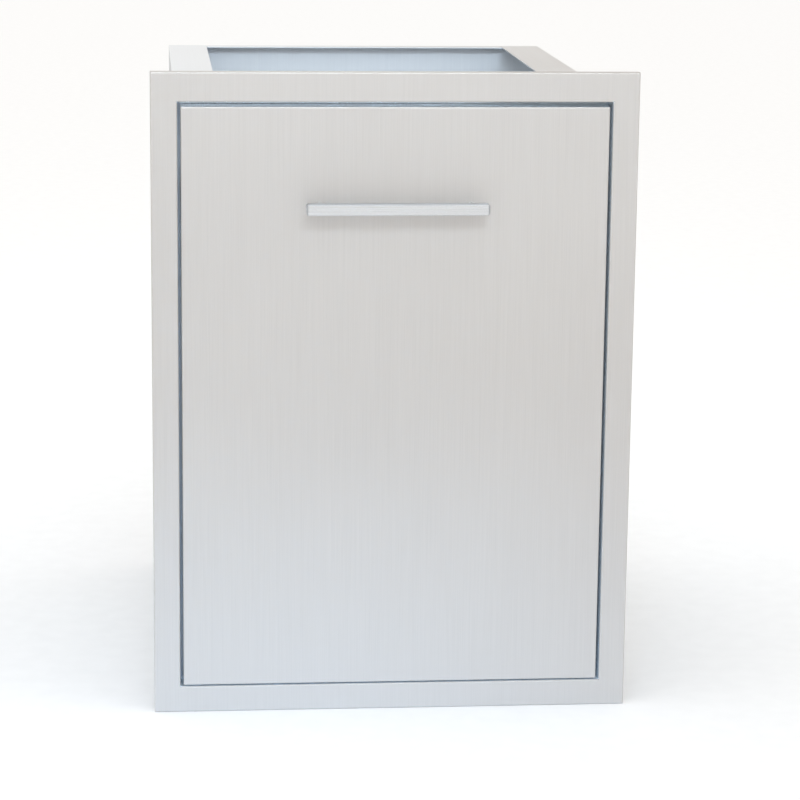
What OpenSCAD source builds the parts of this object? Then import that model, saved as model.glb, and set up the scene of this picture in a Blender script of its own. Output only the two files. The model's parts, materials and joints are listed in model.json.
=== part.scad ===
// Built-in pull-out waste drawer: a sheet-steel housing with a trim frame and an open top, a flush
// drawer front with a bar handle, two telescopic ball slides, a bin carrier and two lift-out bins.
// X runs to the right, Y runs back into the cabinet and Z runs up. The origin is at mid width,
// where the underside of the housing meets the plane of the cabinet face.

/* [Trim frame] */
// Overall width of the trim frame
trim_w = 514; // [420:1:700]
// Overall height of the trim frame
trim_h = 694; // [560:1:860]
// How far the trim frame stands proud of the cabinet face
trim_d = 12; // [8:1:25]
// Sheet thickness of the trim frame
trim_t = 1.5; // [1:0.1:2.5]
// Width of the folded lip that rests on the cabinet face
trim_lip = 10; // [6:1:18]
// Height of the stop lips behind the top and the bottom of the drawer front
stop_lip = 12; // [9:1:20]
// Outside radius of the bends at the front
bend_r = 1.6; // [0.5:0.1:2.5]

/* [Housing] */
// Distance from the edge of the trim frame in to the housing
housing_inset = 25.4; // [20:0.1:40]
// Depth of the housing behind the cabinet face
housing_d = 598; // [460:1:760]
// Sheet thickness of the housing
shell_t = 1.2; // [0.8:0.1:2]
// Width of the in-turned flange along the top of each side
side_flange = 46.5; // [30:0.5:70]
// Width of the in-turned flange along the top of the rear
rear_flange = 22; // [14:1:40]
// Height of the flanges that join the panels
join_flange = 20; // [14:1:30]
// Gap between the housing floor and the return of the trim frame
floor_gap = 0.7; // [0.2:0.1:4]
// Gap between the top flanges and the return of the trim frame
top_gap = 3; // [0.2:0.1:6]
// Radius of the fixing holes in the sides
fixing_hole_r = 2.75; // [2:0.05:4]
// Distance of the fixing holes from the front, the rear, the top and the bottom of the housing
fixing_edge = 60; // [40:1:90]

/* [Drawer front] */
// Depth of the drawer front
front_d = 24; // [16:1:30]
// Sheet thickness of the drawer front and its liner
front_t = 1.2; // [0.8:0.1:2]
// Width of the hem behind the edges of the drawer front
front_hem = 14; // [10:1:25]
// Gap beside the drawer front
front_side_gap = 3.3; // [1.5:0.1:5]
// Gap above the drawer front
front_top_gap = 4.8; // [1.5:0.1:8]
// Gap below the drawer front
front_low_gap = 1.4; // [1:0.1:5]

/* [Handle] */
// Thickness of the square handle bar
handle_s = 12; // [8:0.5:16]
// Distance between the centres of the handle posts
handle_pitch = 160; // [96:1:320]
// How far the handle bar runs past the centre of each post
handle_overhang = 16; // [8:1:40]
// Radius of the handle posts
post_r = 4; // [3:0.25:5]
// Distance from the drawer front to the outer face of the bar
handle_reach = 35; // [28:1:50]
// Distance from the top edge of the drawer front to the centre of the bar
handle_drop = 104; // [60:1:200]

/* [Ball slides] */
// Height of the widest slide rail
slide_h = 45.5; // [37:0.5:60]
// Sheet thickness of the slide rails
slide_t = 1.5; // [1.2:0.1:1.8]
// Gap between the webs of the fixed rail and the middle rail
rail_gap = 3.4; // [1.2:0.1:6]
// Radius of the slide balls
ball_r = 1.75; // [1.4:0.05:2.2]
// Width of the ball cage on each side of a ball
cage_edge = 1; // [0.6:0.1:2.5]
// Distance between two balls in a row
ball_pitch = 27; // [15:1:50]
// Free space behind the slides
slide_rear_gap = 26; // [15:1:60]
// How much shorter the travel is than the slide
slide_hold = 10; // [5:1:60]

/* [Bin carrier and bins] */
// Distance from the top of the housing down to the ledges that carry the bins
carrier_drop = 83; // [60:1:160]
// Height of the carrier side rails
carrier_h = 60; // [50:1:90]
// Sheet thickness of the carrier
carrier_t = 1.5; // [1:0.1:2.5]
// Height of a bin's rolled rim
rim_h = 8; // [5:0.5:14]
// Width of a bin's rim beyond its body
rim_w = 8; // [6:0.5:14]
// Wall thickness of a bin
bin_t = 2.4; // [1.6:0.1:4]
// How much narrower a bin is at its floor, each side
bin_taper = 18; // [6:1:30]
// Corner radius of a bin
bin_r = 34; // [15:1:50]
// Free height below the bins
bin_floor_gap = 110; // [40:1:200]
// Gap between a bin and the top opening that it is lifted through, each side
bin_lift_gap = 2.1; // [1.5:0.1:8]

/* [Hidden] */
$fn = 48;
LEFT = -1;
RIGHT = 1;
steel = [0.82, 0.83, 0.84];
bright_steel = [0.88, 0.90, 0.93];
zinc = [0.70, 0.72, 0.74];
black_rubber = [0.08, 0.08, 0.09];
black_plastic = [0.12, 0.12, 0.13];
bin_grey = [0.62, 0.64, 0.66];

// How far a cutter runs past the face that it cuts
past = 1;
// Gap between two pieces that lie against each other but aren't joined
slip = 0.3;
// Radial gap around a rivet or a screw in its hole
hole_fit = 0.05;
// Radial gap between a ball and the groove that it runs in
groove_fit = 0.06;

// Housing
housing_w = trim_w - 2 * housing_inset;
housing_h = trim_h - 2 * housing_inset;
wall_x = housing_w / 2 - shell_t;
rear_y = housing_d - shell_t;
top_opening_x = housing_w / 2 - side_flange;

// Opening in the trim frame
trim_low = -housing_inset;
trim_high = trim_low + trim_h;
open_x = wall_x - trim_t;
open_low = shell_t + floor_gap + trim_t;
open_high = housing_h - shell_t - top_gap - trim_t;

// Drawer front
front_x = open_x - front_side_gap;
front_low = open_low + front_low_gap;
front_high = open_high - front_top_gap;
front_y = -trim_d;
front_back = front_y + front_d;
liner_back = front_back + front_t;
liner_edge = 3;

// Stops behind the drawer front, along the free edges of the stop lips
bumper_r = 3.2;
bumper_h = 5;
bumper_inset = 75;
bumper_x = front_x - bumper_inset;
stop_y = liner_back + slip + bumper_h;
return_back = stop_y + trim_t;

// Slides, measured from the housing wall inwards and from the slide's own mid height
slide_set_in = 2;
slide_y = return_back + slide_set_in;
slide_l = housing_d - slide_y - slide_rear_gap;
travel = slide_l - slide_hold;
ledge_z = housing_h - carrier_drop;
slide_sag = 1;
slide_z = ledge_z - carrier_t - carrier_h / 2 - slide_sag;
cage_gap = 0.5;
cage_half_w = ball_r + cage_edge;
middle_web_x = slide_t + rail_gap;
race_x = middle_web_x + slide_t + cage_gap + cage_half_w;
slide_notch_gap = 3;
slide_notch_side_gap = 0.4;
slide_notch_x = wall_x - middle_web_x + slide_notch_side_gap;
slide_notch_low = slide_z - slide_h / 2 - slide_notch_gap;
slide_notch_high = slide_z + slide_h / 2 + slide_notch_gap;
drawer_flange_gap = 1.2;
drawer_flange_x = middle_web_x + slide_t + drawer_flange_gap;
rail_flange_x = race_x + cage_half_w + cage_gap;
slide_w = rail_flange_x + slide_t;
race_depth = 0.25;
outer_race_z = slide_h / 2 - slide_t;
outer_ball_z = outer_race_z + race_depth - ball_r;
middle_h = 2 * (outer_ball_z - ball_r + race_depth);
inner_race_z = middle_h / 2 - slide_t;
inner_ball_z = inner_race_z + race_depth - ball_r;
drawer_h = 2 * (inner_ball_z - ball_r + race_depth);
end_stop_l = 6;
cage_margin = 5;
cage_l = slide_l - travel / 2 - 2 * cage_margin;
cage_y = slide_y + travel / 4 + cage_margin;
cage_t = 0.8;
balls = floor((cage_l - 4 * ball_r) / ball_pitch) + 1;
rail_screw_r = 2;
rail_screw_head_r = 3.6;
rail_screw_clear = 0.6;
rail_screw_head_t = rail_gap - rail_screw_clear;
rail_screw_tip = 1.8;
rail_screw_edge = 40;
rail_screw_y = [for (i = [0:2]) slide_y + rail_screw_edge + i * (slide_l - 2 * rail_screw_edge) / 2];

// Release levers, in the drawer rails
lever_l = 60;
lever_half_h = 3.5;
lever_hub_r = 5;
lever_t = 2.2;
lever_x = rail_flange_x - slip - lever_t;
lever_pin_r = 2;
lever_pin_head_r = 3.2;
lever_pin_head_t = 0.8;
lever_fit = 0.06;
lever_set_in = 130;
lever_y = slide_y + lever_set_in;
lever_grips = 4;
lever_grip_step = 3;
lever_grip_w = 1.2;
lever_grip_depth = 0.5;

// Carrier and bins
carrier_x = wall_x - slide_w;
side_lip_gap = 3.2;
side_lip_x = carrier_x + side_lip_gap;
carrier_y = liner_back;
carrier_set_in = 10;
carrier_end = slide_y + slide_l - carrier_set_in;
bin_x = top_opening_x - bin_lift_gap;
bin_body_x = bin_x - rim_w;
bin_front_gap = 21;
bin_gap = 4;
bin_exit_gap = 10;
bin_start = liner_back + bin_front_gap;
bin_end = travel - trim_d - bin_exit_gap;
bin_l = (bin_end - bin_start - bin_gap) / 2;
bin_low = bin_floor_gap;
bin_top = ledge_z + slip + rim_h;
ledge_gap = 2;
ledge_x = bin_body_x + ledge_gap;
cross_fit = 2.5;
cross_flange_h = 24;
cross_lap = 26;
cross_half_l = ledge_x + cross_lap;
carrier_rivet_edge = 8;
carrier_rivet_x = cross_half_l - carrier_rivet_edge;
front_cross_end = bin_start + rim_w - cross_fit;
center_cross_y = bin_start + bin_l + bin_gap / 2;
center_cross_half = bin_gap / 2 + rim_w - cross_fit;
rear_cross_start = bin_end - rim_w + cross_fit;

// Brackets between the carrier and the drawer front
bracket_t = 2;
bracket_h = 240;
bracket_low = ledge_z - bracket_h;
bracket_l = 130;
bracket_low_l = 25;
bracket_flange = 28;
bracket_x = carrier_x - carrier_t;
bracket_high = ledge_z - 2 * carrier_t - slip;
bracket_rows = 4;
bracket_screw_edge = 18;
bracket_row_step = (bracket_high - bracket_low - 2 * bracket_screw_edge) / (bracket_rows - 1);
bracket_screw_z = [for (i = [0:bracket_rows - 1]) bracket_low + bracket_screw_edge + i * bracket_row_step];
bracket_screw_in = 17;
bracket_screw_x = bracket_x - bracket_screw_in;
bracket_screw_head_t = 2;
bracket_screw_tip = 2;

// Screws around the liner, above and below the brackets
liner_screw_edge = 30;
liner_screw_l = 4.8;
liner_screw_z = [front_low + liner_screw_edge, (front_low + bracket_low) / 2, front_high - liner_screw_edge];

// Handle
handle_l = handle_pitch + 2 * handle_overhang;
handle_z = front_high - handle_drop;
bar_y = front_y - handle_reach;
post_y = bar_y + handle_s;
bar_chamfer = 0.8;
bar_end_chamfer = 1.8;
plate_t = 3;
plate_h = 24;
plate_edge = 12;
handle_screw_r = 2;
handle_screw_head_r = 3.8;
handle_screw_head_t = 2.4;
handle_thread_l = 14;
handle_thread_free = 2;
hex_sides = 6;

// Rivets
rivet_r = 1.6;
rivet_head_r = 3.2;
rivet_head_t = 0.9;
rivet_tail_r = 2.2;
rivet_rows = 4;
rivet_end = 60;
side_rivet_y = [for (i = [0:rivet_rows - 1]) rivet_end + i * (housing_d - 2 * rivet_end) / (rivet_rows - 1)];
rear_rivet_z = [for (i = [0:rivet_rows - 1]) rivet_end + i * (housing_h - 2 * rivet_end) / (rivet_rows - 1)];
floor_rivet_inset = 92;
floor_rivet_x = [for (i = [-1:1]) i * (wall_x - floor_rivet_inset)];

// Facets around a bin's corners
bin_facets = 32;

// A box from its low corner to its high corner
module span(low, high) {
    translate(low) cube(high - low);
}

// A cylinder along X that starts at a point
module rod_x(start, r, l) {
    translate(start) rotate([0, 90, 0]) cylinder(r = r, h = l);
}

// A cylinder along Y that starts at a point
module rod_y(start, r, l) {
    translate(start) rotate([-90, 0, 0]) cylinder(r = r, h = l);
}

// A cylinder along Z that starts at a point
module rod_z(start, r, l) {
    translate(start) cylinder(r = r, h = l);
}

// What is cut off a square edge along +Z to round it, for a solid that lies towards +X and +Y
module edge_cut(l) {
    translate([0, 0, -past]) linear_extrude(l + 2 * past) difference() {
        translate([-past, -past]) square(bend_r + past);
        translate([bend_r, bend_r]) circle(bend_r);
    }
}

// The four front edges of a panel. With left and right, and low and high, swapped it is an opening.
module front_edges(left, right, low, high, y) {
    first_x = min(left, right);
    first_z = min(low, high);
    w = abs(right - left);
    h = abs(high - low);
    translate([left, y, first_z]) edge_cut(h);
    translate([right, y, first_z]) mirror([1, 0, 0]) edge_cut(h);
    translate([first_x, y, high]) rotate([0, 90, 0]) edge_cut(w);
    translate([first_x, y, low]) mirror([0, 0, 1]) rotate([0, 90, 0]) edge_cut(w);
}

// The left-hand form of a piece, or its mirror image on the right
module on_side(side) {
    mirror([side == RIGHT ? 1 : 0, 0, 0]) children();
}

module trim_frame() {
    color(steel) difference() {
        union() {
            difference() {
                span([-trim_w / 2, -trim_d, trim_low], [trim_w / 2, 0, trim_high]);
                span([-trim_w / 2 + trim_t, -trim_d + trim_t, trim_low + trim_t],
                    [trim_w / 2 - trim_t, -trim_t, trim_high - trim_t]);
                span([-trim_w / 2 + trim_lip, -trim_t - past, trim_low + trim_lip],
                    [trim_w / 2 - trim_lip, past, trim_high - trim_lip]);
            }
            span([-open_x - trim_t, -trim_d, open_low - trim_t],
                [open_x + trim_t, return_back, open_high + trim_t]);
        }
        span([-open_x, -trim_d - past, open_low], [open_x, stop_y, open_high]);
        span([-side_lip_x, -trim_d - past, open_low + stop_lip],
            [side_lip_x, return_back + past, open_high - stop_lip]);
        span([-slide_notch_x, -trim_d - past, slide_notch_low],
            [slide_notch_x, return_back + past, slide_notch_high]);
        front_edges(-trim_w / 2, trim_w / 2, trim_low, trim_high, -trim_d);
        front_edges(open_x, -open_x, open_high, open_low, -trim_d);
    }
}

// The left wall with its in-turned flanges at the top and the rear
module left_side_shape() {
    difference() {
        union() {
            span([-housing_w / 2, 0, shell_t], [-wall_x, housing_d, housing_h]);
            span([-housing_w / 2, 0, housing_h - shell_t], [-top_opening_x, housing_d, housing_h]);
            span([-housing_w / 2, rear_y, shell_t], [-wall_x + join_flange, housing_d, housing_h]);
        }
        for (y = [fixing_edge, housing_d - fixing_edge], z = [fixing_edge, housing_h - fixing_edge])
            rod_x([-housing_w / 2 - past, y, z], fixing_hole_r, shell_t + 2 * past);
        for (y = rail_screw_y)
            rod_x([-housing_w / 2 - past, y, slide_z], rail_screw_r + hole_fit, shell_t + 2 * past);
        for (y = side_rivet_y)
            rod_x([-housing_w / 2 - past, y, shell_t + join_flange / 2], rivet_r + hole_fit, shell_t + 2 * past);
        for (z = rear_rivet_z)
            rod_y([-wall_x + join_flange / 2, rear_y - past, z], rivet_r + hole_fit, shell_t + 2 * past);
    }
}

module left_side_panel() {
    color(steel) on_side(LEFT) left_side_shape();
}

module right_side_panel() {
    color(steel) on_side(RIGHT) left_side_shape();
}

module rear_panel() {
    panel_y = rear_y - shell_t;
    panel_x = wall_x - slip;
    flange_x = top_opening_x - slip;
    color(steel) difference() {
        union() {
            span([-panel_x, panel_y, shell_t], [panel_x, rear_y, housing_h - shell_t - slip]);
            span([-flange_x, panel_y, shell_t], [flange_x, rear_y, housing_h]);
            span([-flange_x, housing_d - rear_flange, housing_h - shell_t], [flange_x, rear_y, housing_h]);
        }
        for (side = [LEFT, RIGHT], z = rear_rivet_z)
            rod_y([side * (wall_x - join_flange / 2), panel_y - past, z],
                rivet_r + hole_fit, shell_t + 2 * past);
        for (x = floor_rivet_x)
            rod_y([x, panel_y - past, shell_t + join_flange / 2], rivet_r + hole_fit, shell_t + 2 * past);
    }
}

module bottom_panel() {
    flange_back = rear_y - shell_t;
    flange_high = shell_t + join_flange;
    color(steel) difference() {
        union() {
            span([-housing_w / 2, 0, 0], [housing_w / 2, housing_d, shell_t]);
            for (side = [LEFT, RIGHT])
                on_side(side) span([-wall_x, slide_y, 0], [-wall_x + shell_t, flange_back, flange_high]);
            span([-wall_x, flange_back - shell_t, 0], [wall_x, flange_back, flange_high]);
        }
        for (side = [LEFT, RIGHT], y = side_rivet_y)
            on_side(side) rod_x([-wall_x - past, y, shell_t + join_flange / 2],
                rivet_r + hole_fit, shell_t + 2 * past);
        for (x = floor_rivet_x)
            rod_y([x, flange_back - shell_t - past, shell_t + join_flange / 2],
                rivet_r + hole_fit, shell_t + 2 * past);
    }
}

// A blind rivet through two sheets, along +Z, with its flat head below the origin
module rivet(sheets) {
    rod_z([0, 0, -rivet_head_t], rivet_head_r, rivet_head_t);
    rod_z([0, 0, -rivet_head_t / 2], rivet_r, sheets + rivet_head_t);
    rod_z([0, 0, sheets], rivet_tail_r, rivet_head_t);
}

module panel_rivets() {
    sheets = 2 * shell_t;
    rivet_z = shell_t + join_flange / 2;
    color(bright_steel) {
        for (side = [LEFT, RIGHT], y = side_rivet_y)
            on_side(side) translate([-housing_w / 2, y, rivet_z]) rotate([0, 90, 0]) rivet(sheets);
        for (side = [LEFT, RIGHT], z = rear_rivet_z)
            translate([side * (wall_x - join_flange / 2), housing_d, z]) rotate([90, 0, 0]) rivet(sheets);
        for (x = floor_rivet_x)
            translate([x, rear_y, rivet_z]) rotate([90, 0, 0]) rivet(sheets);
    }
}

module stop_bumpers() {
    color(black_rubber)
        for (x = [-bumper_x, bumper_x], z = [open_low + stop_lip - bumper_r, open_high - stop_lip + bumper_r])
            rod_y([x, stop_y - bumper_h, z], bumper_r, bumper_h);
}

// The groove that a row of balls runs in, above or below the slide's mid height
module race(ball_z) {
    for (z = [-ball_z, ball_z])
        rod_y([race_x, -past, z], ball_r + groove_fit, slide_l + 2 * past);
}

// The hollow of a rail whose web is on its outer side or on its inner side
module rail_hollow(from_x, to_x, h) {
    span([from_x, -past, -h / 2 + slide_t], [to_x, slide_l + past, h / 2 - slide_t]);
}

module left_cabinet_rail_shape() {
    translate([-wall_x, slide_y, slide_z]) difference() {
        span([0, 0, -slide_h / 2], [rail_flange_x, slide_l, slide_h / 2]);
        rail_hollow(slide_t, slide_w, slide_h);
        race(outer_ball_z);
        for (y = rail_screw_y)
            rod_x([-past, y - slide_y, 0], rail_screw_r + hole_fit, slide_t + 2 * past);
    }
}

module left_middle_rail_shape() {
    translate([-wall_x, slide_y, slide_z]) difference() {
        span([middle_web_x, 0, -middle_h / 2], [rail_flange_x, slide_l, middle_h / 2]);
        rail_hollow(middle_web_x + slide_t, slide_w, middle_h);
        race(outer_ball_z);
        race(inner_ball_z);
    }
}

module left_drawer_rail_shape() {
    translate([-wall_x, slide_y, slide_z]) {
        difference() {
            span([drawer_flange_x, 0, -drawer_h / 2], [slide_w, slide_l, drawer_h / 2]);
            rail_hollow(0, rail_flange_x, drawer_h);
            race(inner_ball_z);
            for (y = rail_screw_y)
                rod_x([drawer_flange_x, y - slide_y, 0], rail_screw_r + hole_fit, slide_w);
        }
        rod_x([lever_x - slip, lever_set_in, 0], lever_pin_r, rail_flange_x - lever_x + 2 * slip);
        rod_x([lever_x - slip - lever_pin_head_t, lever_set_in, 0], lever_pin_head_r, lever_pin_head_t);
    }
}

module left_cabinet_rail() {
    color(zinc) on_side(LEFT) left_cabinet_rail_shape();
}

module right_cabinet_rail() {
    color(zinc) on_side(RIGHT) left_cabinet_rail_shape();
}

module left_middle_rail() {
    color(zinc) on_side(LEFT) left_middle_rail_shape();
}

module right_middle_rail() {
    color(zinc) on_side(RIGHT) left_middle_rail_shape();
}

module left_drawer_rail() {
    color(zinc) on_side(LEFT) left_drawer_rail_shape();
}

module right_drawer_rail() {
    color(zinc) on_side(RIGHT) left_drawer_rail_shape();
}

// Two strips with their rows of balls, above and below the slide's mid height
module left_ball_cage_shape(ball_z) {
    translate([-wall_x, cage_y, slide_z]) for (z = [-ball_z, ball_z]) {
        difference() {
            span([race_x - cage_half_w, 0, z - cage_t / 2], [race_x + cage_half_w, cage_l, z + cage_t / 2]);
            for (i = [0:balls - 1])
                rod_z([race_x, 2 * ball_r + i * ball_pitch, z - cage_t], ball_r + hole_fit, 2 * cage_t);
        }
        for (i = [0:balls - 1])
            translate([race_x, 2 * ball_r + i * ball_pitch, z]) sphere(r = ball_r);
    }
}

module left_outer_ball_cage() {
    color(zinc) on_side(LEFT) left_ball_cage_shape(outer_ball_z);
}

module right_outer_ball_cage() {
    color(zinc) on_side(RIGHT) left_ball_cage_shape(outer_ball_z);
}

module left_inner_ball_cage() {
    color(zinc) on_side(LEFT) left_ball_cage_shape(inner_ball_z);
}

module right_inner_ball_cage() {
    color(zinc) on_side(RIGHT) left_ball_cage_shape(inner_ball_z);
}

// A flat-headed screw along +X: the head is at the origin and the shank runs to the given length
module flat_screw_x(l) {
    rod_x([-rail_screw_head_t, 0, 0], rail_screw_head_r, rail_screw_head_t);
    rod_x([-rail_screw_head_t / 2, 0, 0], rail_screw_r, l + rail_screw_head_t / 2);
}

module cabinet_rail_screws() {
    color(bright_steel) for (side = [LEFT, RIGHT], y = rail_screw_y)
        on_side(side) translate([-wall_x + slide_t, y, slide_z]) mirror([1, 0, 0])
            flat_screw_x(slide_t + shell_t + rail_screw_tip);
}

module drawer_rail_screws() {
    color(bright_steel) for (side = [LEFT, RIGHT], y = rail_screw_y)
        on_side(side) translate([-wall_x + rail_flange_x, y, slide_z])
            flat_screw_x(slide_t + carrier_t + rail_screw_tip);
}

module slide_end_stops() {
    color(black_plastic) for (side = [LEFT, RIGHT])
        on_side(side) span([-wall_x, slide_y + slide_l, slide_z - slide_h / 2],
            [-wall_x + rail_flange_x, slide_y + slide_l + end_stop_l, slide_z + slide_h / 2]);
}

module left_release_lever_shape() {
    translate([-wall_x + lever_x, lever_y, slide_z]) difference() {
        union() {
            rod_x([0, 0, 0], lever_hub_r, lever_t);
            span([0, -lever_l, -lever_half_h], [lever_t, 0, lever_half_h]);
            rod_x([0, -lever_l, 0], lever_half_h, lever_t);
        }
        rod_x([-past, 0, 0], lever_pin_r + lever_fit, lever_t + 2 * past);
        for (i = [0:lever_grips - 1])
            translate([0, -lever_l + i * lever_grip_step, 0])
                span([-past, 0, 0], [lever_grip_depth, lever_grip_w, lever_half_h + past]);
    }
}

module left_release_lever() {
    color(black_plastic) on_side(LEFT) left_release_lever_shape();
}

module right_release_lever() {
    color(black_plastic) on_side(RIGHT) left_release_lever_shape();
}

module drawer_front_panel() {
    color(steel) difference() {
        span([-front_x, front_y, front_low], [front_x, front_back, front_high]);
        span([-front_x + front_t, front_y + front_t, front_low + front_t],
            [front_x - front_t, front_back - front_t, front_high - front_t]);
        span([-front_x + front_hem, front_back - front_t - past, front_low + front_hem],
            [front_x - front_hem, front_back + past, front_high - front_hem]);
        front_edges(-front_x, front_x, front_low, front_high, front_y);
        for (x = [-handle_pitch / 2, handle_pitch / 2])
            rod_y([x, front_y - past, handle_z], handle_screw_r + hole_fit, front_t + 2 * past);
        liner_screw_places() rod_y([0, -front_t - past, 0], rivet_r + hole_fit, front_t + 2 * past);
    }
}

// The places of the screws around the liner, on the plane where it meets the hem
module liner_screw_places() {
    edge_x = front_x - front_hem / 2;
    for (x = [-edge_x, edge_x], z = liner_screw_z)
        translate([x, front_back, z]) children();
}

module drawer_front_liner() {
    color(steel) difference() {
        span([-front_x + liner_edge, front_back, front_low + liner_edge],
            [front_x - liner_edge, liner_back, front_high - liner_edge]);
        liner_screw_places() rod_y([0, -past, 0], rivet_r + hole_fit, front_t + 2 * past);
        for (side = [LEFT, RIGHT], z = bracket_screw_z)
            rod_y([side * bracket_screw_x, front_back - past, z], rail_screw_r + hole_fit, front_t + 2 * past);
    }
}

module liner_screws() {
    color(bright_steel) liner_screw_places() {
        rod_y([0, front_t, 0], rivet_head_r, rivet_head_t);
        rod_y([0, front_t - liner_screw_l, 0], rivet_r, liner_screw_l + rivet_head_t / 2);
    }
}

// The outline of a rectangle with its corners cut off, given by half its sides and the cut
function cut_corners(x, y, c) = [
    [-x, c - y], [c - x, -y], [x - c, -y], [x, c - y],
    [x, y - c], [x - c, y], [c - x, y], [-x, y - c]
];

// A square bar with its edges broken: a small chamfer along it and a larger one round each end
module handle_bar() {
    half_l = handle_l / 2;
    half = handle_s / 2;
    color(bright_steel) translate([0, bar_y + half, handle_z]) intersection() {
        rotate([90, 0, 90]) translate([0, 0, -half_l]) linear_extrude(handle_l)
            polygon(cut_corners(half, half, bar_chamfer));
        translate([0, 0, -half]) linear_extrude(handle_s)
            polygon(cut_corners(half_l, half, bar_end_chamfer));
        rotate([90, 0, 0]) translate([0, 0, -half]) linear_extrude(handle_s)
            polygon(cut_corners(half_l, half, bar_end_chamfer));
    }
}

module handle_posts() {
    color(bright_steel) for (x = [-handle_pitch / 2, handle_pitch / 2]) difference() {
        rod_y([x, post_y, handle_z], post_r, front_y - post_y);
        rod_y([x, front_y - handle_thread_l, handle_z], handle_screw_r + hole_fit, handle_thread_l + past);
    }
}

module handle_backing_plate() {
    half_l = handle_pitch / 2 + plate_edge;
    color(zinc) difference() {
        span([-half_l, front_y + front_t, handle_z - plate_h / 2],
            [half_l, front_y + front_t + plate_t, handle_z + plate_h / 2]);
        for (x = [-handle_pitch / 2, handle_pitch / 2])
            rod_y([x, front_y, handle_z], handle_screw_r + hole_fit, plate_t + front_t + past);
    }
}

module handle_screws() {
    seat_y = front_y + front_t + plate_t;
    shank_l = front_t + plate_t + handle_thread_l - handle_thread_free;
    color(bright_steel) for (x = [-handle_pitch / 2, handle_pitch / 2]) difference() {
        union() {
            rod_y([x, seat_y, handle_z], handle_screw_head_r, handle_screw_head_t);
            rod_y([x, seat_y - shank_l, handle_z], handle_screw_r, shank_l + past);
        }
        translate([x, seat_y + handle_screw_head_t / 2, handle_z]) rotate([-90, 0, 0])
            cylinder(r = handle_screw_r, h = handle_screw_head_t, $fn = hex_sides);
    }
}

module left_carrier_rail_shape() {
    web_low = ledge_z - carrier_h - carrier_t;
    difference() {
        union() {
            span([-carrier_x, carrier_y, web_low], [-carrier_x + carrier_t, carrier_end, ledge_z]);
            span([-carrier_x, carrier_y, ledge_z - carrier_t], [-ledge_x, carrier_end, ledge_z]);
        }
        for (y = rail_screw_y)
            rod_x([-carrier_x - past, y, slide_z], rail_screw_r + hole_fit, carrier_t + 2 * past);
        carrier_rivet_places() rod_z([0, 0, -carrier_t - past], rivet_r + hole_fit, carrier_t + 2 * past);
    }
}

// The places of the rivets on the left ledge, one pair for each cross rail
module carrier_rivet_places() {
    for (y = [(carrier_y + front_cross_end) / 2, center_cross_y, (rear_cross_start + carrier_end) / 2])
        translate([-carrier_rivet_x, y, ledge_z]) children();
}

module left_carrier_rail() {
    color(steel) on_side(LEFT) left_carrier_rail_shape();
}

module right_carrier_rail() {
    color(steel) on_side(RIGHT) left_carrier_rail_shape();
}

// A cross rail below the ledges, from one Y to another, with its flange at the given Y
module cross_rail(from_y, to_y, flange_y) {
    top_z = ledge_z - carrier_t;
    flange_x = bracket_x - bracket_flange - cross_fit;
    color(steel) difference() {
        union() {
            span([-cross_half_l, from_y, top_z - carrier_t], [cross_half_l, to_y, top_z]);
            span([-flange_x, flange_y, top_z - cross_flange_h], [flange_x, flange_y + carrier_t, top_z]);
        }
        for (side = [LEFT, RIGHT])
            on_side(side) carrier_rivet_places()
                rod_z([0, 0, -2 * carrier_t - past], rivet_r + hole_fit, 2 * carrier_t + 2 * past);
    }
}

module front_cross_rail() {
    cross_rail(carrier_y, front_cross_end, carrier_y);
}

module center_cross_rail() {
    cross_rail(center_cross_y - center_cross_half, center_cross_y + center_cross_half,
        center_cross_y - center_cross_half);
}

module rear_cross_rail() {
    cross_rail(rear_cross_start, carrier_end, carrier_end - carrier_t);
}

module carrier_rivets() {
    color(bright_steel) for (side = [LEFT, RIGHT])
        on_side(side) carrier_rivet_places() mirror([0, 0, 1]) rivet(2 * carrier_t);
}

module left_front_bracket_shape() {
    difference() {
        union() {
            translate([-bracket_x, 0, 0]) rotate([90, 0, 90]) linear_extrude(bracket_t)
                polygon([[liner_back, bracket_low], [liner_back + bracket_low_l, bracket_low],
                    [liner_back + bracket_l, slide_z - slide_h / 2], [liner_back + bracket_l, bracket_high],
                    [liner_back, bracket_high]]);
            span([-bracket_x, liner_back, bracket_low],
                [-bracket_x + bracket_flange, liner_back + bracket_t, bracket_high]);
        }
        for (z = bracket_screw_z)
            rod_y([-bracket_screw_x, liner_back - past, z], rail_screw_r + hole_fit, bracket_t + 2 * past);
        for (y = rail_screw_y)
            rod_x([-bracket_x - past, y, slide_z], rail_screw_head_r, bracket_t + 2 * past);
    }
}

module left_front_bracket() {
    color(steel) on_side(LEFT) left_front_bracket_shape();
}

module right_front_bracket() {
    color(steel) on_side(RIGHT) left_front_bracket_shape();
}

module bracket_screws() {
    shank_l = bracket_t + front_t + bracket_screw_tip;
    color(bright_steel) for (side = [LEFT, RIGHT], z = bracket_screw_z)
        translate([side * bracket_screw_x, liner_back + bracket_t, z]) {
            rod_y([0, 0, 0], rail_screw_head_r, bracket_screw_head_t);
            rod_y([0, -shank_l, 0], rail_screw_r, shank_l + bracket_screw_head_t / 2);
        }
}

// A thin plate with round corners, given by half its sides and its underside's height
module round_plate(half_x, half_y, r, z, t) {
    for (x = [-half_x + r, half_x - r], y = [-half_y + r, half_y - r])
        rod_z([x, y, z], r, t);
}

// The tapering body of a bin between two heights, each side set in by the given amount
module bin_body(inset, from_z, to_z) {
    thin = 0.01;
    half_y = bin_l / 2 - rim_w;
    hull() {
        round_plate(bin_body_x - inset, half_y - inset, bin_r - inset, to_z - thin, thin, $fn = bin_facets);
        round_plate(bin_body_x - bin_taper - inset, half_y - bin_taper - inset, bin_r - inset, from_z, thin,
            $fn = bin_facets);
    }
}

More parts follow.
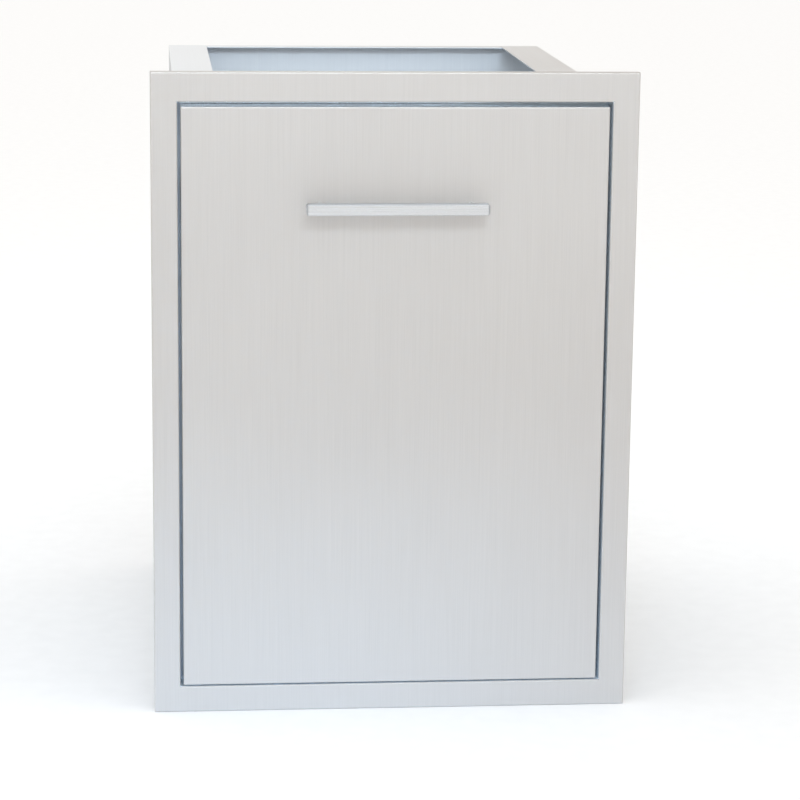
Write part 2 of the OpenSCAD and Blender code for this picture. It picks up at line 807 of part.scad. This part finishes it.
// A bin about its own centre line: tapering body, flat rim and rolled edge
module bin_shape() {
    rim_t = bin_t;
    rim_r = bin_r + rim_w;
    color(bin_grey) difference() {
        union() {
            bin_body(0, bin_low, bin_top);
            difference() {
                hull() round_plate(bin_x, bin_l / 2, rim_r, bin_top - rim_h, rim_h, $fn = bin_facets);
                difference() {
                    hull() round_plate(bin_x - rim_t, bin_l / 2 - rim_t, rim_r - rim_t,
                        bin_top - rim_h - past, rim_h + past - rim_t, $fn = bin_facets);
                    bin_body(0, bin_low, bin_top);
                }
            }
        }
        bin_body(bin_t, bin_low + bin_t, bin_top + past);
    }
}

module front_bin() {
    translate([0, bin_start + bin_l / 2, 0]) bin_shape();
}

module rear_bin() {
    translate([0, bin_end - bin_l / 2, 0]) bin_shape();
}

trim_frame();
left_side_panel();
right_side_panel();
rear_panel();
bottom_panel();
panel_rivets();
stop_bumpers();
left_cabinet_rail();
right_cabinet_rail();
cabinet_rail_screws();
slide_end_stops();
left_middle_rail();
right_middle_rail();
left_outer_ball_cage();
right_outer_ball_cage();
left_inner_ball_cage();
right_inner_ball_cage();
drawer_front_panel();
drawer_front_liner();
liner_screws();
handle_bar();
handle_posts();
handle_backing_plate();
handle_screws();
left_drawer_rail();
right_drawer_rail();
drawer_rail_screws();
left_release_lever();
right_release_lever();
left_carrier_rail();
right_carrier_rail();
front_cross_rail();
center_cross_rail();
rear_cross_rail();
carrier_rivets();
left_front_bracket();
right_front_bracket();
bracket_screws();
front_bin();
rear_bin();
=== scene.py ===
import json
import math

import bmesh
import bpy
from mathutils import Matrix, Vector


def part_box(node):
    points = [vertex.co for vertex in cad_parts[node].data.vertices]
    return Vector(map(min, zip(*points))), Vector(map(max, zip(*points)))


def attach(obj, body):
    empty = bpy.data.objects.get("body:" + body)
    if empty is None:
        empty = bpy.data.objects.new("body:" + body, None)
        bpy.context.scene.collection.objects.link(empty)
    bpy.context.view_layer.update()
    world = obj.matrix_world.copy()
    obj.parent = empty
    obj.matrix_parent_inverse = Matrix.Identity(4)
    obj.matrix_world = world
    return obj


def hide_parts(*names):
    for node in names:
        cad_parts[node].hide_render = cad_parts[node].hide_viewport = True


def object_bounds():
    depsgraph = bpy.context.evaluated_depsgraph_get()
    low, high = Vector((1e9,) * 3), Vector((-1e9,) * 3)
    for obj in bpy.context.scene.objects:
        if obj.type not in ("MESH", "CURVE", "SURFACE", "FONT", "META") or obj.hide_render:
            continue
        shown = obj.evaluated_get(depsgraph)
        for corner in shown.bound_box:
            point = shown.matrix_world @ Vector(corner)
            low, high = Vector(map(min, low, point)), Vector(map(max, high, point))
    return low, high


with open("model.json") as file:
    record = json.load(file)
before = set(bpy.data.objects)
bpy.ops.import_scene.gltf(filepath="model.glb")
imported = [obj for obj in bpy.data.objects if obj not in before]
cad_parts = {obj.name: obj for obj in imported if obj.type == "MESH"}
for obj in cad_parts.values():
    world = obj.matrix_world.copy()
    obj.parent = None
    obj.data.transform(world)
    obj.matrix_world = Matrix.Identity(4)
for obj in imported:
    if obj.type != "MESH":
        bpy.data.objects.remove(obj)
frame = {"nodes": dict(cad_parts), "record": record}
cad_low, cad_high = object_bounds()

scene = bpy.context.scene
nodes = frame["nodes"]
slot_of = {part["node"]: part["material_slot"] for part in frame["record"]["subparts"]}


# ---------------------------------------------------------------- materials


class Shader:
    """A node material with a Principled shader and short helpers for its textures."""

    def __init__(self, name):
        self.material = bpy.data.materials.new(name)
        self.material.use_nodes = True
        self.tree = self.material.node_tree
        self.shader = self.tree.nodes["Principled BSDF"]
        self.place = self.node("ShaderNodeTexCoord").outputs["Object"]

    def node(self, kind, **values):
        made = self.tree.nodes.new(kind)
        for key, value in values.items():
            setattr(made, key, value)
        return made

    def link(self, source, target):
        self.tree.links.new(source, target)

    def set(self, **values):
        for key, value in values.items():
            self.shader.inputs[key.replace("_", " ")].default_value = value

    def noise(self, stretch, detail, rough):
        """Noise over the metres of the part, stretched by (x, y, z) in cycles per metre."""
        mapping = self.node("ShaderNodeMapping")
        mapping.inputs["Scale"].default_value = stretch
        self.link(self.place, mapping.inputs["Vector"])
        noise = self.node("ShaderNodeTexNoise")
        noise.inputs["Scale"].default_value = 1.0
        noise.inputs["Detail"].default_value = detail
        noise.inputs["Roughness"].default_value = rough
        self.link(mapping.outputs["Vector"], noise.inputs["Vector"])
        return noise.outputs["Fac"]

    def span(self, value, low, high, to_low, to_high):
        made = self.node("ShaderNodeMapRange")
        made.inputs["From Min"].default_value = low
        made.inputs["From Max"].default_value = high
        made.inputs["To Min"].default_value = to_low
        made.inputs["To Max"].default_value = to_high
        self.link(value, made.inputs["Value"])
        return made.outputs["Result"]

    def math(self, operation, a, b):
        made = self.node("ShaderNodeMath", operation=operation)
        for socket, value in zip(made.inputs, (a, b)):
            if isinstance(value, float):
                socket.default_value = value
            else:
                self.link(value, socket)
        return made.outputs["Value"]

    def ramp(self, value, *stops):
        made = self.node("ShaderNodeValToRGB")
        elements = made.color_ramp.elements
        while len(elements) < len(stops):
            elements.new(0.5)
        for element, (place, colour) in zip(elements, stops):
            element.position = place
            element.color = (*colour, 1.0)
        self.link(value, made.inputs["Fac"])
        return made.outputs["Color"]

    def bump(self, height, strength, distance):
        made = self.node("ShaderNodeBump")
        made.inputs["Strength"].default_value = strength
        made.inputs["Distance"].default_value = distance
        self.link(height, made.inputs["Height"])
        self.link(made.outputs["Normal"], self.shader.inputs["Normal"])

    def tones(self, value, dark, light):
        """The base colour, from dark to light over the middle of a noise."""
        self.link(self.ramp(value, (0.3, dark), (0.7, light)), self.shader.inputs["Base Color"])

    def roughness(self, value, low, high, to_low, to_high):
        self.link(self.span(value, low, high, to_low, to_high), self.shader.inputs["Roughness"])


ALONG_X, ALONG_Y, ALONG_Z = 0, 1, 2


def even(cycles):
    return (cycles, cycles, cycles)


def drawn_out(cycles, lengthwise, along):
    """Fine across the brush lines, and few cycles along them."""
    stretch = [cycles, cycles, cycles]
    stretch[along] = lengthwise
    return stretch


def brushed(name, dark, light, rough, along, fine=1400.0, streak=0.25, metal=1.0):
    """Brushed sheet: grain lines along one axis, wider streaks, and slow clouds of tone."""
    line_share, cloud_share = 0.8, 0.2
    made = Shader(name)
    grain = made.noise(drawn_out(fine, 9.0, along), detail=3.0, rough=0.6)
    streaks = made.noise(drawn_out(170.0, 1.6, along), detail=2.0, rough=0.5)
    clouds = made.noise(even(5.0), detail=3.0, rough=0.5)
    fine_lines = made.math("MULTIPLY", grain, line_share - streak)
    lines = made.math("ADD", fine_lines, made.math("MULTIPLY", streaks, streak))
    made.tones(made.math("ADD", lines, made.math("MULTIPLY", clouds, cloud_share)), dark, light)
    made.roughness(lines, 0.2, 0.6, rough - 0.06, rough + 0.08)
    made.set(Metallic=metal)
    made.bump(grain, strength=0.35, distance=0.00003)
    return made.material


def plated(name, dark, light, rough):
    """Bright zinc plate: faint rolling lines along the rail, and small cloudy patches."""
    line_share, cloud_share = 0.4, 0.6
    made = Shader(name)
    lines = made.noise(drawn_out(700.0, 6.0, ALONG_Y), detail=3.0, rough=0.5)
    clouds = made.noise(drawn_out(60.0, 30.0, ALONG_Y), detail=4.0, rough=0.6)
    fine_lines = made.math("MULTIPLY", lines, line_share)
    made.tones(made.math("ADD", fine_lines, made.math("MULTIPLY", clouds, cloud_share)), dark, light)
    made.roughness(clouds, 0.3, 0.7, rough - 0.07, rough + 0.09)
    made.set(Metallic=1.0)
    made.bump(lines, strength=0.3, distance=0.00002)
    return made.material


def polished(name, dark, light, rough):
    """Turned or polished metal, with fine handling marks."""
    made = Shader(name)
    marks = made.noise(even(900.0), detail=4.0, rough=0.65)
    clouds = made.noise(even(120.0), detail=2.0, rough=0.5)
    made.tones(clouds, dark, light)
    made.roughness(marks, 0.3, 0.7, rough - 0.04, rough + 0.08)
    made.set(Metallic=1.0)
    made.bump(marks, strength=0.15, distance=0.00001)
    return made.material


def moulded(name, dark, light, rough, grain=2600.0):
    """Moulded plastic or rubber: a fine spark-eroded grain, faint flow marks and rubbed patches."""
    made = Shader(name)
    pores = made.noise(even(grain), detail=3.0, rough=0.6)
    flow = made.noise((26.0, 26.0, 9.0), detail=4.0, rough=0.6)
    made.tones(flow, dark, light)
    made.roughness(flow, 0.3, 0.7, rough - 0.07, rough + 0.07)
    made.set(Metallic=0.0, Specular_IOR_Level=0.45)
    made.bump(pores, strength=0.4, distance=0.00006)
    return made.material


SHEET_GRAIN = 1100.0
BAR_GRAIN = 1800.0
FRONT_TONES = ((0.500, 0.478, 0.459), (0.560, 0.536, 0.515))
FRONT_ROUGH = 0.44
FRONT_METAL = 0.55
# Painted light: the drawer front's folded sides, top and bottom are painted lighter and bluer than its face,
# for the light-blue line they catch.
LIT_FOLD_TONES = ((0.66, 0.69, 0.72), (0.72, 0.75, 0.78))
FOLD_ROUGH = 0.26
FOLD_METAL = 0.9

materials = {
    "brushed_front": brushed("brushed_front", *FRONT_TONES, FRONT_ROUGH, ALONG_Z,
                             streak=0.09, metal=FRONT_METAL),
    "housing_sheet": brushed("housing_sheet", (0.70, 0.715, 0.73), (0.78, 0.795, 0.81), 0.34,
                             ALONG_Y, SHEET_GRAIN, metal=0.85),
    "carrier_sheet": brushed("carrier_sheet", (0.58, 0.60, 0.62), (0.70, 0.72, 0.74), 0.40, ALONG_Y),
    "handle_steel": brushed("handle_steel", (0.63, 0.64, 0.655), (0.70, 0.71, 0.725), 0.26,
                            ALONG_X, BAR_GRAIN),
    "zinc_rail": plated("zinc_rail", (0.52, 0.55, 0.58), (0.68, 0.71, 0.74), 0.30),
    "ball_steel": polished("ball_steel", (0.66, 0.67, 0.69), (0.76, 0.77, 0.79), 0.10),
    "fasteners": polished("fasteners", (0.62, 0.63, 0.65), (0.74, 0.75, 0.77), 0.24),
    "bumper_rubber": moulded("bumper_rubber", (0.018, 0.018, 0.019), (0.034, 0.034, 0.036), 0.78,
                             grain=3000.0),
    "black_plastic": moulded("black_plastic", (0.020, 0.020, 0.022), (0.036, 0.036, 0.039), 0.52),
    "bin_plastic": moulded("bin_plastic", (0.46, 0.48, 0.50), (0.52, 0.54, 0.56), 0.50,
                           grain=2200.0),
}
# Painted light: the rear panel's inner face is a lighter, bluer, more diffuse copy of the housing sheet,
# standing in for the light falling into the housing.
rear_sheet_painted_light = brushed("rear_sheet_painted_light", (0.74, 0.80, 0.87), (0.80, 0.86, 0.92), 0.55,
                     ALONG_Z, SHEET_GRAIN, metal=0.3)
outer_sheet = brushed("outer_sheet", (0.44, 0.45, 0.46), (0.53, 0.54, 0.55), 0.38,
                      ALONG_Z, SHEET_GRAIN, metal=0.85)
# Painted light: the trim frame's folds inside its opening are a lighter, bluer copy of the front steel,
# standing in for the bluish light in the gap.
painted_light_fold = brushed("folded_edge_painted_light", (0.78, 0.86, 0.94), (0.84, 0.92, 0.98), 0.20, ALONG_Y, metal=0.85)
# Painted light: the folds beside and below the drawer front are a lighter, bluer, more diffuse copy of the
# steel, so the gap reads lit and blue.
gap_fold_painted_light = brushed("gap_fold_painted_light", (0.84, 0.91, 0.97), (0.88, 0.95, 0.99), 0.40, ALONG_Y, metal=0.35)
# Painted shade: a darker copy of the handle steel for the bar's top face and chamfers, standing in for their
# shade and dark reflections.
bar_edge_painted_shade = brushed("bar_edge_painted_shade", (0.40, 0.41, 0.43), (0.48, 0.49, 0.51), 0.42, ALONG_X, BAR_GRAIN)
front_edge = brushed("front_edge", *FRONT_TONES, FRONT_ROUGH, ALONG_X, streak=0.12, metal=FRONT_METAL)
front_fold_painted_light = brushed("front_fold_painted_light", *LIT_FOLD_TONES, FOLD_ROUGH, ALONG_Z, metal=FOLD_METAL)
front_fold_flat_painted_light = brushed("front_fold_flat_painted_light", *LIT_FOLD_TONES, FOLD_ROUGH, ALONG_X, metal=FOLD_METAL)
# Painted shade: the side stop lips behind the drawer front are a darker copy of the fold steel, because they
# lie in shade, with a blue tint of painted light.
stop_lip = brushed("stop_lip", (0.60, 0.68, 0.78), (0.68, 0.76, 0.86), 0.45, ALONG_Z, metal=0.7)


def paint(piece, material):
    piece.data.materials.clear()
    piece.data.materials.append(material)
    for face in piece.data.polygons:
        face.material_index = 0


for name, piece in nodes.items():
    paint(piece, materials[slot_of[name]])


# Faces are chosen by the size of a component of their normal, and by where their centre is, in metres.
CHAMFERED, LEVEL, SQUARE_ON = 0.3, 0.7, 0.9
FOLD_START = 0.0012
GAP_BESIDE, GAP_BELOW, GAP_ABOVE = 0.004, 0.002, 0.0055
STOP_LIP_DEPTH = 0.0022
STOP_LIP_BESIDE_CARRIER = 0.003
SKIN = 0.0001


def paint_where(name, material, chosen):
    """Gives the faces whose centre and normal pass the test another material of the same metal: another
    finish, or a copy painted lighter or darker as painted light or shade.
    """
    piece = nodes[name]
    piece.data.materials.append(material)
    for face in piece.data.polygons:
        if chosen(face.center, face.normal):
            face.material_index = len(piece.data.materials) - 1


front_low, front_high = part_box("drawer_front_panel")
fold_y = front_low.y + FOLD_START
stop_lip_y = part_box("trim_frame")[1].y - STOP_LIP_DEPTH
stop_lip_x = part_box("right_carrier_rail")[1].x + STOP_LIP_BESIDE_CARRIER


def in_opening(at):
    """Beside, above or below the drawer front, inside the trim frame's opening."""
    return (abs(at.x) < front_high.x + GAP_BESIDE and at.y > fold_y
            and front_low.z - GAP_BELOW < at.z < front_high.z + GAP_ABOVE)


def below_top_gap(at):
    return in_opening(at) and at.z < front_high.z


def on_bar_edge(normal):
    """The bar's top face, its upper chamfers, and the chamfers round its ends, which are painted darker as
    painted shade.
    """
    return normal.z > CHAMFERED or CHAMFERED < abs(normal.x) < SQUARE_ON


paint_where("trim_frame", front_edge, lambda at, normal: abs(normal.z) > LEVEL)
# Painted light: the folds inside the opening get the lighter, bluer copy of the steel.
paint_where("trim_frame", painted_light_fold, lambda at, normal: in_opening(at))
# Painted light: the folds beside and below the drawer front get the lighter, bluer copy.
paint_where("trim_frame", gap_fold_painted_light, lambda at, normal: below_top_gap(at))
# Painted shade: the side stop lips get the darker, bluish copy of the steel.
paint_where("trim_frame", stop_lip, lambda at, normal: at.y > stop_lip_y and abs(at.x) >= stop_lip_x)
# Painted shade: the bar's top face and chamfers get the darker copy of the handle steel.
paint_where("handle_bar", bar_edge_painted_shade, lambda at, normal: on_bar_edge(normal))
# Painted light: the drawer front's folds get the lighter, bluer copy of its steel.
paint_where("drawer_front_panel", front_fold_painted_light, lambda at, normal: at.y > fold_y)
paint_where("drawer_front_panel", front_fold_flat_painted_light, lambda at, normal: abs(normal.z) > LEVEL)
for side in ("left_side_panel", "right_side_panel"):
    outer_x = max(abs(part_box(side)[0].x), abs(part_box(side)[1].x)) - SKIN
    paint_where(side, outer_sheet, lambda at, normal: abs(at.x) > outer_x and abs(normal.x) > SQUARE_ON)
    paint_where(side, outer_sheet, lambda at, normal: normal.y > SQUARE_ON)
# Painted light: the rear panel's inner face gets the lighter, bluer copy of the sheet.
paint_where("rear_panel", rear_sheet_painted_light, lambda at, normal: normal.y < -SQUARE_ON)
paint_where("rear_panel", outer_sheet, lambda at, normal: normal.y > SQUARE_ON)


# ---------------------------------------------------------------- bins


class Bin:
    """A moulded bin: rings of points from its inner floor, over its rolled rim, to its underside.

    Sizes are in metres. A drop is measured down from the rim's top.
    """

    corner_steps = 10
    edge_steps = 5
    corner = 0.034
    least_corner = 0.004
    core = 0.012
    sharp_degrees = 50

    rim_w = 0.008
    rim_h = 0.008
    rim_t = 0.0024
    rim_fillet = 0.0010
    rim_fillet_h = 0.0012
    lip_round = 0.0022
    lip_inset = 0.0012
    skirt_t = 0.0022
    skirt_edge_w = 0.0005
    skirt_edge_h = 0.0006

    wall = 0.0024
    taper = 0.018
    wall_drop = 0.012
    wall_foot = 0.012
    step_drop = 0.052
    step_above = 0.003
    step_below = 0.001
    sink = 0.0012
    band_sink = 1.8
    band_below_step = (0.14, 0.19)
    band_h = 0.02
    band_slope = 0.003

    floor_edge = 0.012
    floor_round = 0.0085
    panel_inset = 0.040
    panel_slope = 0.0035
    panel_sink = 0.0006

    foot_w = 0.012
    foot_round = 0.005
    foot_slope = 0.0015
    underside_rise = 0.0010

    web_pitch = 0.042
    web_half_t = 0.0006
    web_outer = 0.0020
    web_into_wall = 0.0006
    web_top_drop = 0.0023
    web_outer_drop = 0.0070
    web_inner_drop = 0.0115

    def __init__(self, low, high):
        self.middle = (low + high) / 2
        self.half = (high - low) / 2
        self.low, self.top = low.z, high.z
        self.points, self.faces = [], []
        self.first = self.last = None

    def ring(self, inset, z):
        """A rounded rectangle that lies the given distance inside the rim's outer edge."""
        radius = max(self.corner + self.rim_w - inset, self.least_corner)
        start = len(self.points)
        for corner, (side_x, side_y) in enumerate(((1, 1), (-1, 1), (-1, -1), (1, -1))):
            x = side_x * (self.half.x - inset - radius)
            y = side_y * (self.half.y - inset - radius)
            for step in range(self.corner_steps + 1):
                turn = math.pi / 2 * (corner + step / self.corner_steps)
                self.points.append((self.middle.x + x + radius * math.cos(turn),
                                    self.middle.y + y + radius * math.sin(turn), z))
        made = range(start, len(self.points))
        count = len(made)
        if self.last is None:
            self.first = made
        else:
            for i in range(count):
                j = (i + 1) % count
                self.faces.append((self.last[i], self.last[j], made[j], made[i]))
        self.last = made

    def body(self, inset, z):
        """A ring on the tapering wall: 0 is its outer face and one wall in is its inner face."""
        share = (self.top - z) / (self.top - self.low)
        self.ring(self.rim_w + self.taper * share + inset, z)

    def round_over(self, centre_inset, centre_z, radius, first, last):
        """Rings round an edge, from one angle in degrees to another; 0 points out and 90 up."""
        for step in range(self.edge_steps + 1):
            turn = math.radians(first + (last - first) * step / self.edge_steps)
            self.ring(centre_inset - radius * math.cos(turn), centre_z + radius * math.sin(turn))

    def heights(self):
        """The wall from its top down, as heights and how many times the sink it lies in there."""
        step_z = self.top - self.step_drop
        found = [(self.top - self.wall_drop, 0), (step_z + self.step_above, 0), (step_z - self.step_below, 1)]
        for below in self.band_below_step:
            band_top = step_z - below
            band_low = band_top - self.band_h
            found += [(band_top, 1), (band_top - self.band_slope, self.band_sink),
                      (band_low + self.band_slope, self.band_sink), (band_low, 1)]
        return found + [(self.low + self.wall_foot, 1)]

    def walls(self, inset, heights):
        """The wall up or down past its step and its stiffening bands."""
        for z, depth in heights:
            self.body(inset + depth * self.sink, z)

    def inside(self):
        """The floor, with a shallow panel in its middle, and the wall up to the rim."""
        floor_z = self.low + self.wall
        inner_low = self.rim_w + self.taper + self.wall + self.sink
        self.ring(self.half.y - self.core, floor_z - self.panel_sink)
        self.ring(inner_low + self.panel_inset, floor_z - self.panel_sink)
        self.ring(inner_low + self.panel_inset - self.panel_slope, floor_z)
        self.ring(inner_low + self.floor_edge, floor_z)
        self.round_over(inner_low + self.floor_round, floor_z + self.floor_round, self.floor_round, -90, -15)
        self.walls(self.wall, reversed(self.heights()))

    def rim(self):
        """The rounded lip, the rim's flat, and the skirt that hangs from its outer edge."""
        top, skirt_low = self.top, self.top - self.rim_h
        lip = self.rim_w + self.wall + self.lip_inset - self.lip_round
        self.round_over(lip, top - self.lip_round, self.lip_round, 180, 90)
        self.round_over(self.rim_t, top - self.rim_t, self.rim_t, 90, 0)
        self.ring(0.0, skirt_low + self.skirt_edge_h)
        self.ring(self.skirt_edge_w, skirt_low)
        self.ring(self.skirt_t - self.skirt_edge_w, skirt_low)
        self.ring(self.skirt_t, skirt_low + self.skirt_edge_h)
        self.ring(self.skirt_t, top - self.rim_t - self.rim_fillet)
        self.ring(self.skirt_t + self.rim_fillet, top - self.rim_t)
        self.ring(self.rim_w - self.rim_fillet, top - self.rim_t)
        self.ring(self.rim_w, top - self.rim_t - self.rim_fillet_h)

    def outside(self):
        """The wall down to the foot, and the underside, raised a little inside the foot."""
        low = self.low
        outer_low = self.rim_w + self.taper + self.sink
        self.walls(0.0, self.heights())
        self.round_over(outer_low + self.foot_round, low + self.foot_round, self.foot_round, -10, -90)
        self.ring(outer_low + self.foot_w, low)
        self.ring(outer_low + self.foot_w + self.foot_slope, low + self.underside_rise)
        self.ring(self.half.y - self.core, low + self.underside_rise)

    def gussets(self):
        """Thin webs under the rim, between its skirt and the wall."""
        straight_x = self.half.x - self.corner - self.rim_w
        straight_y = self.half.y - self.corner - self.rim_w
        for along, across, straight in ((0, 1, straight_x), (1, 0, straight_y)):
            count = int(straight * 2 / self.web_pitch)
            for i in range(count + 1):
                place = -straight + 2 * straight * i / count
                for side in (-1, 1):
                    self.web(along, across, place, side)

    def web(self, along, across, place, side):
        start = len(self.points)
        inner = self.rim_w + self.web_into_wall
        corners = ((self.web_outer, self.web_top_drop), (self.web_outer, self.web_outer_drop),
                   (inner, self.web_inner_drop), (inner, self.web_top_drop))
        for thick in (-self.web_half_t, self.web_half_t):
            for inset, drop in corners:
                point = [0.0, 0.0, self.top - drop]
                point[along] = self.middle[along] + place + thick
                point[across] = self.middle[across] + side * (self.half[across] - inset)
                self.points.append(tuple(point))
        count = len(corners)
        a = range(start, start + count)
        b = range(start + count, start + 2 * count)
        self.faces.append(tuple(a))
        self.faces.append(tuple(reversed(b)))
        for i in range(count):
            j = (i + 1) % count
            self.faces.append((a[j], a[i], b[i], b[j]))

    def build(self, name):
        self.inside()
        self.rim()
        self.outside()
        self.faces.append(tuple(reversed(self.first)))
        self.faces.append(tuple(self.last))
        self.gussets()
        mesh = bpy.data.meshes.new(name)
        mesh.from_pydata(self.points, [], self.faces)
        fair = bmesh.new()
        fair.from_mesh(mesh)
        bmesh.ops.recalc_face_normals(fair, faces=fair.faces)
        fair.to_mesh(mesh)
        fair.free()
        mesh.shade_smooth()
        mesh.set_sharp_from_angle(angle=math.radians(self.sharp_degrees))
        piece = bpy.data.objects.new(name, mesh)
        scene.collection.objects.link(piece)
        mesh.materials.append(materials["bin_plastic"])
        return piece


for name in ("front_bin", "rear_bin"):
    moulding = Bin(*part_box(name)).build(name + "_moulding")
    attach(moulding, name)
    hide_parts(name)


# ---------------------------------------------------------------- stage

floor_z = cad_low.z
floor_mesh = bpy.data.meshes.new("floor")
reach = 30.0
floor_corners = [(-reach, -reach, floor_z), (reach, -reach, floor_z),
                 (reach, reach, floor_z), (-reach, reach, floor_z)]
floor_mesh.from_pydata(floor_corners, [], [(0, 1, 2, 3)])
floor = bpy.data.objects.new("floor", floor_mesh)
scene.collection.objects.link(floor)
pale = Shader("pale_floor")
pale.tones(pale.noise(even(40.0), detail=2.0, rough=0.5), (0.92, 0.92, 0.92), (0.94, 0.94, 0.94))
pale.set(Roughness=0.9, Specular_IOR_Level=0.1)
floor.data.materials.append(pale.material)

# The studio is nearly white, with a warm patch behind the object to the right.
WARM_SIDE = (0.62, 0.76, 0.18)
WARM_FROM, WARM_FULL = 0.77, 0.92
STUDIO_WHITE = (1.0, 0.995, 0.985, 1.0)
STUDIO_WARM = (0.46, 0.37, 0.28, 1.0)
STUDIO_STRENGTH = 1.10

world = bpy.data.worlds.new("studio")
world.use_nodes = True
sky = world.node_tree
ground = sky.nodes["Background"]
direction = sky.nodes.new("ShaderNodeTexCoord").outputs["Generated"]
toward = sky.nodes.new("ShaderNodeVectorMath")
toward.operation = "DOT_PRODUCT"
toward.inputs[1].default_value = Vector(WARM_SIDE).normalized()
warm_share = sky.nodes.new("ShaderNodeMapRange")
warm_share.interpolation_type = "SMOOTHSTEP"
warm_share.inputs["From Min"].default_value = WARM_FROM
warm_share.inputs["From Max"].default_value = WARM_FULL
tint = sky.nodes.new("ShaderNodeMix")
tint.data_type = "RGBA"
tint.inputs["A"].default_value = STUDIO_WHITE
tint.inputs["B"].default_value = STUDIO_WARM
sky.links.new(direction, toward.inputs[0])
sky.links.new(toward.outputs["Value"], warm_share.inputs["Value"])
sky.links.new(warm_share.outputs["Result"], tint.inputs["Factor"])
sky.links.new(tint.outputs["Result"], ground.inputs["Color"])
ground.inputs["Strength"].default_value = STUDIO_STRENGTH
scene.world = world
scene.view_settings.view_transform = "Standard"


def softbox(name, place, aim, size, power, colour, spread=180.0, glossy=True):
    """A rectangular lamp that the camera doesn't see; spread is in degrees."""
    data = bpy.data.lights.new(name, "AREA")
    data.shape = "RECTANGLE"
    data.size, data.size_y = size
    data.energy = power
    data.color = colour
    data.spread = math.radians(spread)
    lamp = bpy.data.objects.new(name, data)
    lamp.location = place
    lamp.rotation_euler = (aim - Vector(place)).to_track_quat("-Z", "Y").to_euler()
    lamp.visible_camera = False
    lamp.visible_glossy = glossy
    scene.collection.objects.link(lamp)


WARM_WHITE = (1.0, 0.98, 0.955)
centre = (cad_low + cad_high) / 2
below_top_lamp = Vector((0.0, -0.5, 0.0))
upper_rear_wall = Vector((0.0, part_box("rear_panel")[0].y, cad_high.z - 0.06))
below_front = Vector((-0.10, 0.0, -0.22))
softbox("key", (-1.2, -3.8, 2.9), centre, size=(2.4, 2.4), power=5.0, colour=WARM_WHITE)
softbox("fill", (3.4, -2.6, 2.2), centre, size=(2.4, 2.4), power=3.0, colour=WARM_WHITE)
softbox("top", (0.0, -0.5, 3.4), below_top_lamp, size=(1.6, 1.6), power=8.0, colour=(0.72, 0.88, 1.0))
softbox("into_housing", (0.0, -2.4, 1.9), upper_rear_wall, size=(1.2, 0.5), power=1.7,
        colour=(0.80, 0.91, 1.0), spread=40.0)
softbox("low", (-0.38, -1.6, 0.14), below_front, size=(0.9, 0.2), power=2.3,
        colour=(0.42, 0.68, 1.0), spread=38.0, glossy=False)


# ---------------------------------------------------------------- camera

CAMERA_PLACE = (-0.263, -2.931, 0.9496)
CAMERA_TURN = (77.864, -0.611, -5.146)

lens = bpy.data.cameras.new("camera")
lens.sensor_width = 36.0
lens.lens = 126.3
lens.clip_start = 0.05
lens.clip_end = 100.0
camera = bpy.data.objects.new("camera", lens)
camera.location = CAMERA_PLACE
camera.rotation_euler = [math.radians(turn) for turn in CAMERA_TURN]
scene.collection.objects.link(camera)
scene.camera = camera
